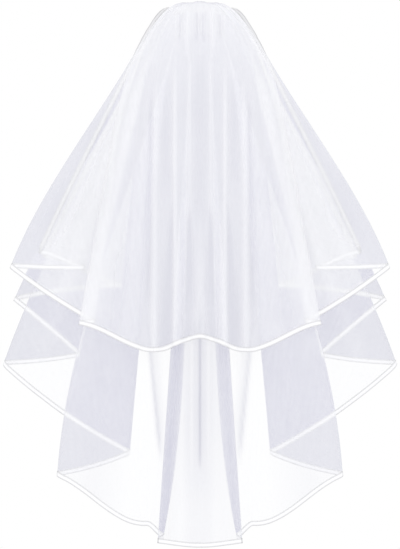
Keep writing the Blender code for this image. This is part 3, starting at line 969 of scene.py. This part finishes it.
def ribbon_path(points):
    """The cloth's edge with the directions outward and square to it, its length and the painted
    shade along it.
    """
    edge, inner, on_hem = edge_path(points)
    along = tangents(edge)
    outward = unit(edge - inner)
    square = outward - along * np.sum(outward * along, axis=1, keepdims=True)
    slant = np.linalg.norm(square, axis=1, keepdims=True)
    outward = np.where(on_hem[:, None] > 0.5, outward / slant, square / slant)
    steps = np.diff(edge, axis=0)
    length = np.concatenate(([0.0], np.cumsum(np.linalg.norm(steps, axis=1))))
    turn = np.zeros(len(edge))
    turn[1:-1] = np.linalg.norm(np.diff(unit(steps), axis=0), axis=1)
    near = np.abs(length[:, None] - length[None, :]) < FOLD_REACH
    # painted shade along the ribbon: darker at sharp folds and down the side edges
    dull = FOLD_PAINTED_SHADE * smooth(near @ turn, *FOLD_TURN) + SIDE_PAINTED_SHADE * (1.0 - on_hem)
    return Path(edge, outward, unit(np.cross(along, outward)), length, dull)


paths = {tier.name: ribbon_path(surfaces[tier.name].points) for tier in (UPPER, LOWER)}
print("points along each ribbon:", {name: len(path.edge) for name, path in paths.items()})

# %% Bindings
BINDING_THICK = 0.9
BINDING_LAP = 1.5                  # how far it reaches over the net
BINDING_SIDES = 12
FLATNESS = 0.45                    # powers that make an oval section flat with round edges
ROUNDNESS = 0.6
PUCKERS = ((11.0, 0.13), (17.3, 0.16), (29.0, 0.2))     # length and height of its small waves


def swollen(wave, power):
    """A wave between -1 and 1, pushed outwards by a power below 1."""
    return np.copysign(np.abs(wave) ** power, wave)


def oval(sides, across_power, above_power):
    """Corners of a rounded flat section, from -1 to 1 across and above."""
    angles = 2.0 * math.pi * np.arange(sides) / sides
    return list(zip(swollen(np.cos(angles), across_power), swollen(np.sin(angles), above_power)))


def tube_object(name, lines, along, across, material):
    """A closed tube from one line of points for each side, with its UV map."""
    sides, count = len(lines), len(along)
    faces = grid_faces(count, sides, closed=True)
    faces.append(tuple(range(sides)))
    faces.append(tuple((count - 1) * sides + side for side in reversed(range(sides))))
    obj = mesh_object(name, np.stack(lines, axis=1).reshape(-1, 3), faces, material)
    places = [np.stack((along * MM, np.full(count, share)), axis=1) for share in across]
    uv_map(obj, np.stack(places, axis=1).reshape(-1, 2))
    outward_faces(obj)
    return obj


def pucker(length):
    """How far the ribbon's middle stands out, at each place along it."""
    return sum(high * np.sin(2.0 * math.pi * length / pitch + pitch) for pitch, high in PUCKERS)


def beside_path(path, reach, lift):
    """A line that runs beside the path, so far outward and so far off the cloth."""
    return path.edge + path.outward * reach + path.normal * (lift + pucker(path.length)[:, None])


def binding_object(tier, path, material):
    """The satin binding of a tier, as a closed flat tube along the path."""
    section = oval(BINDING_SIDES, FLATNESS, ROUNDNESS)
    lines = []
    for flat, thick in section:
        reach = SEAM + 0.5 * RIBBON_WIDE * (1.0 + flat) - 0.5 * BINDING_LAP * (1.0 - flat)
        lines.append(beside_path(path, reach, 0.5 * BINDING_THICK * thick))
    across = [0.5 + 0.5 * flat for flat, _ in section]
    obj = tube_object(tier.name + "_binding", lines, path.length, across, material)
    # painted shade: the ribbon's colour is darkened at sharp folds and down the side edges
    point_attribute(obj, "shade", np.repeat(1.0 - path.dull, BINDING_SIDES))
    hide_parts(tier.name + "_ribbon")
    print(obj.name, "length in metres", round(float(path.length[-1]) * MM, 2))
    return obj


bindings = {tier.name: binding_object(tier, paths[tier.name], satin) for tier in (UPPER, LOWER)}

# %% [markdown]
# ## Geometry Nodes: stitches along a path
#
# A row of machine stitches is one small shape repeated at a fixed step, which is what
# Geometry Nodes do well. The tree turns a row of points into a curve, spaces it evenly by
# the stitch's pitch, and puts a short spindle of thread on each point, turned along the
# curve. The export can't read instances, so they are made real at the end. The result is
# then kept as a plain mesh and the modifier is gone.

# %% Tree helpers
def geometry_tree(name, *numbers):
    """An empty geometry node tree: geometry, named numbers and a material go in."""
    tree = bpy.data.node_groups.new(name, "GeometryNodeTree")
    kinds = {"Geometry": "NodeSocketGeometry", "Material": "NodeSocketMaterial"}
    for label in ("Geometry", *numbers, "Material"):
        kind = kinds.get(label, "NodeSocketFloat")
        tree.interface.new_socket(label, in_out="INPUT", socket_type=kind)
    tree.interface.new_socket("Geometry", in_out="OUTPUT", socket_type=kinds["Geometry"])
    return tree, tree.nodes.new("NodeGroupInput").outputs, tree.nodes.new("NodeGroupOutput")


def finish_tree(tree, start, end, geometry):
    """Make instances real, give them the material and close the tree."""
    real = add(tree, "GeometryNodeRealizeInstances", {0: geometry})
    inputs = {"Geometry": real, "Material": start["Material"]}
    fill(tree, end, {"Geometry": add(tree, "GeometryNodeSetMaterial", inputs)})
    return tree


def grown(name, points, edges, tree, values):
    """Run a tree on a row of points and keep the result as a plain mesh."""
    seed = bpy.data.meshes.new(name + "_seed")
    seed.from_pydata((np.asarray(points) * MM).tolist(), edges, [])
    obj = bpy.data.objects.new(name, seed)
    bpy.context.scene.collection.objects.link(obj)
    modifier = obj.modifiers.new("grow", "NODES")
    modifier.node_group = tree
    for item in tree.interface.items_tree:
        if item.in_out == "INPUT" and item.name in values:
            modifier[item.identifier] = values[item.name]
    bpy.context.view_layer.update()
    graph = bpy.context.evaluated_depsgraph_get()
    mesh = bpy.data.meshes.new_from_object(obj.evaluated_get(graph))
    obj.modifiers.remove(modifier)
    obj.data = mesh
    mesh.name = name
    mesh.shade_smooth()
    bpy.data.meshes.remove(seed)
    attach(obj, BODY)
    print(name, "faces", len(mesh.polygons))
    return obj


# %% Tree: a row of stitches
SPINDLE = {"Segments": 5, "Rings": 4, "Radius": 0.5}    # one across, then scaled to the thread


def stitch_tree():
    """Spindles of thread at an even step along a curve."""
    tree, start, end = geometry_tree("stitch_row", "Pitch", "Length", "Thread")
    curve = add(tree, "GeometryNodeMeshToCurve", {0: start["Geometry"]})
    even = {"Curve": curve, "Length": start["Pitch"]}
    tangent = add(tree, "GeometryNodeInputTangent")
    size = {"X": start["Thread"], "Y": start["Thread"], "Z": start["Length"]}
    row = add(tree, "GeometryNodeInstanceOnPoints", {
        "Points": add(tree, "GeometryNodeResampleCurve", even, mode="LENGTH"),
        "Instance": add(tree, "GeometryNodeMeshUVSphere", SPINDLE),
        "Rotation": add(tree, "FunctionNodeAlignRotationToVector", {"Vector": tangent}, axis="Z"),
        "Scale": add(tree, "ShaderNodeCombineXYZ", size),
    })
    return finish_tree(tree, start, end, row)


STITCHES = stitch_tree()
STITCH = {"Pitch": 0.0034, "Length": 0.0027, "Thread": 0.00042, "Material": thread}
STITCH_IN = 1.1                    # from the ribbon's inner edge to its row of stitches


def row_edges(count, start=0):
    """Edges that join a row of points."""
    return [(here, here + 1) for here in range(start, start + count - 1)]


def binding_stitches(tier, path):
    """Both faces' rows of stitches along a binding's inner edge."""
    reach = SEAM - BINDING_LAP + STITCH_IN
    rows = [beside_path(path, reach, face * 0.5 * BINDING_THICK) for face in (-1.0, 1.0)]
    count = len(path.edge)
    edges = row_edges(count) + row_edges(count, count)
    name = tier.name + "_binding_stitches"
    return grown(name, np.concatenate(rows), edges, STITCHES, STITCH)


seams = {tier.name: binding_stitches(tier, paths[tier.name]) for tier in (UPPER, LOWER)}

# %% [markdown]
# ## The heading: tape, gathering stitches and whip stitches
#
# The gathered net is sewn into a ribbed tape along the top of the comb's bar. The tape is
# a rounded strip that follows the bar's arch, folded over at both ends. Just above it, a
# row of gathering stitches holds the net's small folds. Between the comb's teeth, loops of
# thread go round the bar and through the tape, and these are what really hold the veil.

# %% Tape
TAPE_DEEP = 6.0
TAPE_HALF = 42.5
TAPE_STEPS = 84
TAPE_ROUND = 0.42                  # power that rounds the corners of its section
TAPE_LOW = 0.5 * BAR_HIGH + SEAM
STRIP_SIDES = 16
FOLD_LONG = 3.0                    # length of the folded ends
FOLD_STEP = 0.6                    # length in which a fold gets its full thickness
FOLD_THICK = 0.05                  # share by which the fold makes the tape fatter there
END_LONG = 0.8                     # length in which a strip's end closes, and how far
END_CLOSED = 0.75


def along_bar(x):
    """Middle of the comb's bar at a distance from the middle."""
    share = np.asarray(x) / GATHER_HALF
    return np.stack((np.asarray(x), bar_y(share), bar_z(share)), axis=-1)


def heading_strip(name, half, low, high, deep, power, steps, material, fold=0.0):
    """A rounded strip along the bar's arch, between two levels above its middle."""
    x = np.linspace(-half, half, steps + 1)
    middle = along_bar(x) + (0.0, 0.0, 0.5 * (low + high))
    tilt = np.gradient(middle[:, 2], x)
    up = unit(np.stack((-tilt, np.zeros_like(x), np.ones_like(x)), axis=1))
    folded = smooth(np.abs(x), half - FOLD_LONG - FOLD_STEP, half - FOLD_LONG)
    closing = np.sqrt(1.0 - END_CLOSED * smooth(np.abs(x), half - END_LONG, half) ** 2)[:, None]
    fatter = 1.0 + fold * folded[:, None]
    lines = []
    for across, above in oval(STRIP_SIDES, power, power):
        sideways = np.array((0.0, 0.5 * deep * across, 0.0)) * closing
        lines.append(middle + sideways + up * (0.5 * (high - low) * above * fatter * closing))
    shares = [side / STRIP_SIDES for side in range(STRIP_SIDES)]
    return tube_object(name, lines, x, shares, material)


tape_shell = heading_strip(
    "tape_shell", TAPE_HALF, TAPE_LOW, TAPE_LOW + TAPE_HIGH, TAPE_DEEP, TAPE_ROUND, TAPE_STEPS,
    tape, FOLD_THICK,
)
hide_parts("heading_tape")
print("tape length in metres", 2.0 * TAPE_HALF * MM)

# %% Gathering stitches
GATHER_STITCH = {"Pitch": 0.0031, "Length": 0.0022, "Thread": 0.0005, "Material": thread}
GATHER_PLACE = (0.0, -0.35, 0.5)   # from the net's first row: just outside and above the tape

gather_row = surfaces["upper"].points[0] + GATHER_PLACE
grown(
    "gathering_stitches", gather_row, row_edges(len(gather_row)), STITCHES, GATHER_STITCH,
)

# %% [markdown]
# ## The comb
#
# A veil comb is moulded in one piece: an arched bar, and teeth that taper and follow the
# curve of the head. The bar is a rounded strip like the tape. Geometry Nodes repeat the
# tooth: a bent line that becomes a tapering tube, set on a point for each tooth. The points
# and the sizes are those of the solid comb, so the finer comb takes its place exactly.

# %% Comb
COMB_HALF = 41.0
BAR_ROUND = 0.6                    # power that rounds the corners of the bar's section
BAR_STEPS = 80
TEETH = 18
TOOTH_INSET = 3.0
TOOTH_ROOT = 0.8
TOOTH_STEPS = 14
TOOTH_SIDES = 10
TIP_PART = 1.02                    # where along the tooth its tip would close
TIP_RATE = 14.0                    # how fast it opens from there
TOOTH = {
    "Long": 36.0 * MM, "Radius": 0.9 * MM, "Taper": 0.5, "Swing": 4.0 * MM, "Bend": 0.6,
    "Material": comb_plastic,
}


def tooth_tree():
    """Tapering, bent teeth hanging from the points of a mesh."""
    tree, start, end = geometry_tree("comb_teeth", "Long", "Radius", "Taper", "Swing", "Bend")
    part = add(tree, "GeometryNodeSplineParameter", output="Factor")
    angle = maths(tree, "MULTIPLY", maths(tree, "MULTIPLY", part, start["Bend"]), math.pi)
    forward = maths(tree, "MULTIPLY", maths(tree, "SINE", angle), start["Swing"])
    down = maths(tree, "MULTIPLY", part, maths(tree, "MULTIPLY", start["Long"], -1.0))
    thinner = maths(tree, "SUBTRACT", 1.0, maths(tree, "MULTIPLY", part, start["Taper"]))
    to_tip = maths(tree, "MULTIPLY", maths(tree, "SUBTRACT", TIP_PART, part), TIP_RATE)
    tip = maths(tree, "SQRT", maths(tree, "MINIMUM", to_tip, 1.0))
    line = add(tree, "GeometryNodeCurvePrimitiveLine", {"End": (0.0, 0.0, -1.0)})
    steps = {"Curve": line, "Count": TOOTH_STEPS}
    bent = add(tree, "GeometryNodeSetPosition", {
        "Geometry": add(tree, "GeometryNodeResampleCurve", steps, mode="COUNT"),
        "Position": add(tree, "ShaderNodeCombineXYZ", {"Y": forward, "Z": down}),
    })
    rod = {"Curve": bent, "Radius": maths(tree, "MULTIPLY", thinner, tip)}
    ring = {"Resolution": TOOTH_SIDES, "Radius": start["Radius"]}
    tooth = add(tree, "GeometryNodeCurveToMesh", {
        "Curve": add(tree, "GeometryNodeSetCurveRadius", rod),
        "Profile Curve": add(tree, "GeometryNodeCurvePrimitiveCircle", ring),
        "Fill Caps": True,
    })
    put = {"Points": start["Geometry"], "Instance": tooth}
    return finish_tree(tree, start, end, add(tree, "GeometryNodeInstanceOnPoints", put))


tooth_x = (COMB_HALF - TOOTH_INSET) * np.linspace(-1.0, 1.0, TEETH)
tooth_roots = along_bar(tooth_x) + (0.0, 0.0, TOOTH_ROOT - 0.5 * BAR_HIGH)
comb_teeth = grown("comb_teeth", tooth_roots, [], tooth_tree(), TOOTH)
comb_bar = heading_strip(
    "comb_bar", COMB_HALF, -0.5 * BAR_HIGH, 0.5 * BAR_HIGH, BAR_DEEP, BAR_ROUND, BAR_STEPS,
    comb_plastic,
)
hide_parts("comb")
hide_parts("comb")

# %% Whip stitches
WHIP_THREAD = 0.3                  # half the thread's thickness
WHIP_STEPS = 20
WHIP_SIDES = 6
WHIP_ROUND = 0.5                   # power that rounds the loop's corners
WHIP_SLANTS = (-0.225, 0.315)      # how far the top of each loop in a gap leans along the bar


def whip_loop(x, slant):
    """Points of one loop of thread round the bar and the tape."""
    low = -0.5 * BAR_HIGH - WHIP_THREAD
    high = TAPE_LOW + TAPE_HIGH + WHIP_THREAD
    angles = np.linspace(0.0, 2.0 * math.pi, WHIP_STEPS, endpoint=False)
    across = swollen(np.cos(angles), WHIP_ROUND) * (0.5 * TAPE_DEEP + WHIP_THREAD)
    above = swollen(np.sin(angles), WHIP_ROUND)
    level = 0.5 * (low + high) + above * 0.5 * (high - low)
    return along_bar(x) + np.stack((above * slant, across, level), axis=1)


def whip_tree():
    """A round thread along closed loops of edges."""
    tree, start, end = geometry_tree("whip_thread", "Thread")
    ring = {"Resolution": WHIP_SIDES, "Radius": start["Thread"]}
    tube = add(tree, "GeometryNodeCurveToMesh", {
        "Curve": add(tree, "GeometryNodeMeshToCurve", {0: start["Geometry"]}),
        "Profile Curve": add(tree, "GeometryNodeCurvePrimitiveCircle", ring),
    })
    return finish_tree(tree, start, end, tube)


def whip_stitches():
    """Two slanting loops in every gap between teeth."""
    loops = []
    edges = []
    step_x = (tooth_x[1] - tooth_x[0]) / (len(WHIP_SLANTS) + 1)
    for tooth in tooth_x[:-1]:
        for turn, slant in enumerate(WHIP_SLANTS, start=1):
            first = WHIP_STEPS * len(loops)
            loops.append(whip_loop(tooth + step_x * turn, slant))
            edges += row_edges(WHIP_STEPS, first) + [(first + WHIP_STEPS - 1, first)]
    values = {"Thread": WHIP_THREAD * MM, "Material": thread}
    return grown("whip_stitches", np.concatenate(loops), edges, whip_tree(), values)


whip_stitches()

# %% [markdown]
# ## The flat cloth
#
# Each tier was one flat piece before it was gathered. The size of its flat cut is printed
# where its sheet is made.

# %% [markdown]
# ## Studio
#
# The veil floats in soft white light, high above a pale floor. Behind it the world is
# white, around the veil and through a single layer of net. Through two or more layers it is
# a lavender grey: painted shade that stands in for the light that layered net stops. The
# world counts the layers that a line of sight has passed, and picks the colour by them.

# %% Floor
FLOOR_LEVEL = -1.62
FLOOR_RADIUS = 3.0
FLOOR_SIDES = 64


def floor_object():
    """A round pale floor below the veil, where the wearer would stand."""
    material, tree, shader = new_material("floor")
    cloud = mottled(tree, coordinates(tree, "Object"), scale=3.0, low=0.88, high=0.92)
    fill(tree, shader, {"Base Color": tinted(tree, PURE_WHITE, cloud), "Roughness": 0.8})
    angles = [2.0 * math.pi * side / FLOOR_SIDES for side in range(FLOOR_SIDES)]
    ring = [(FLOOR_RADIUS * math.cos(a), FLOOR_RADIUS * math.sin(a), FLOOR_LEVEL) for a in angles]
    mesh = bpy.data.meshes.new("floor")
    mesh.from_pydata(ring, [], [tuple(range(FLOOR_SIDES))])
    mesh.materials.append(material)
    floor = bpy.data.objects.new("floor", mesh)
    bpy.context.scene.collection.objects.link(floor)
    return floor


floor = floor_object()

# %% Backdrop and soft light
BACKDROP_SHADE_BY_LAYERS = (                       # layers of net in front of it, and the painted shade of the backdrop behind them
    (0, (1.0, 1.0, 1.0)),
    (1, (1.0, 1.0, 1.0)),
    (2, (0.60, 0.60, 0.69)),
    (3, (0.33, 0.32, 0.50)),
)
MOST_LAYERS = 8.0
SOFT_LIGHT = 0.93
SOFT_COLOUR = (0.985, 0.985, 1.0)


def studio_world():
    """Soft light all round, and a backdrop whose colour is painted shade by the layers of net
    passed.
    """
    world = bpy.data.worlds.new("studio")
    world.use_nodes = True
    tree = world.node_tree
    tree.nodes.clear()
    ray = tree.nodes.new("ShaderNodeLightPath").outputs
    ramp = tree.nodes.new("ShaderNodeValToRGB")
    ramp.color_ramp.interpolation = "CONSTANT"
    stops = ramp.color_ramp.elements
    while len(stops) < len(BACKDROP_SHADE_BY_LAYERS):
        stops.new(0.5)
    for stop, (layers, colour) in zip(stops, BACKDROP_SHADE_BY_LAYERS):
        stop.position = max(0.0, (layers - 0.5) / MOST_LAYERS)
        stop.color = (*colour, 1.0)
    # painted shade: the backdrop's colour darkens with the layers of net that a line of sight has
    # passed
    fill(tree, ramp, {"Fac": maths(tree, "DIVIDE", ray["Transparent Depth"], MOST_LAYERS)})
    soft = {"Color": (*SOFT_COLOUR, 1.0), "Strength": SOFT_LIGHT}
    choose = add(tree, "ShaderNodeMixShader", {
        0: ray["Is Camera Ray"],
        1: add(tree, "ShaderNodeBackground", soft),
        2: add(tree, "ShaderNodeBackground", {"Color": ramp.outputs["Color"]}),
    })
    fill(tree, tree.nodes.new("ShaderNodeOutputWorld"), {"Surface": choose})
    return world


bpy.context.scene.world = studio_world()

# %% Lamps
LAMP_AIM = (0.0, 0.0, -0.35)
LAMPS = (                          # name, place, side of its square in metres, watts
    ("left_lamp", (-2.4, -2.0, 0.9), 1.2, 5.5),
    ("right_lamp", (2.4, -2.0, 0.7), 1.2, 4.5),
    ("top_lamp", (0.0, -0.8, 1.6), 1.0, 1.5),
    ("front_lamp", (0.0, -4.4, 0.1), 2.4, 15.0),
)


def lamp_object(name, place, size, power):
    """A soft square lamp that points at the veil."""
    data = bpy.data.lights.new(name, "AREA")
    data.size = size
    data.energy = power
    lamp = bpy.data.objects.new(name, data)
    lamp.location = place
    lamp.rotation_euler = (Vector(LAMP_AIM) - Vector(place)).to_track_quat("-Z", "Y").to_euler()
    bpy.context.scene.collection.objects.link(lamp)


for lamp in LAMPS:
    lamp_object(*lamp)
bpy.context.scene.view_settings.view_transform = "Standard"
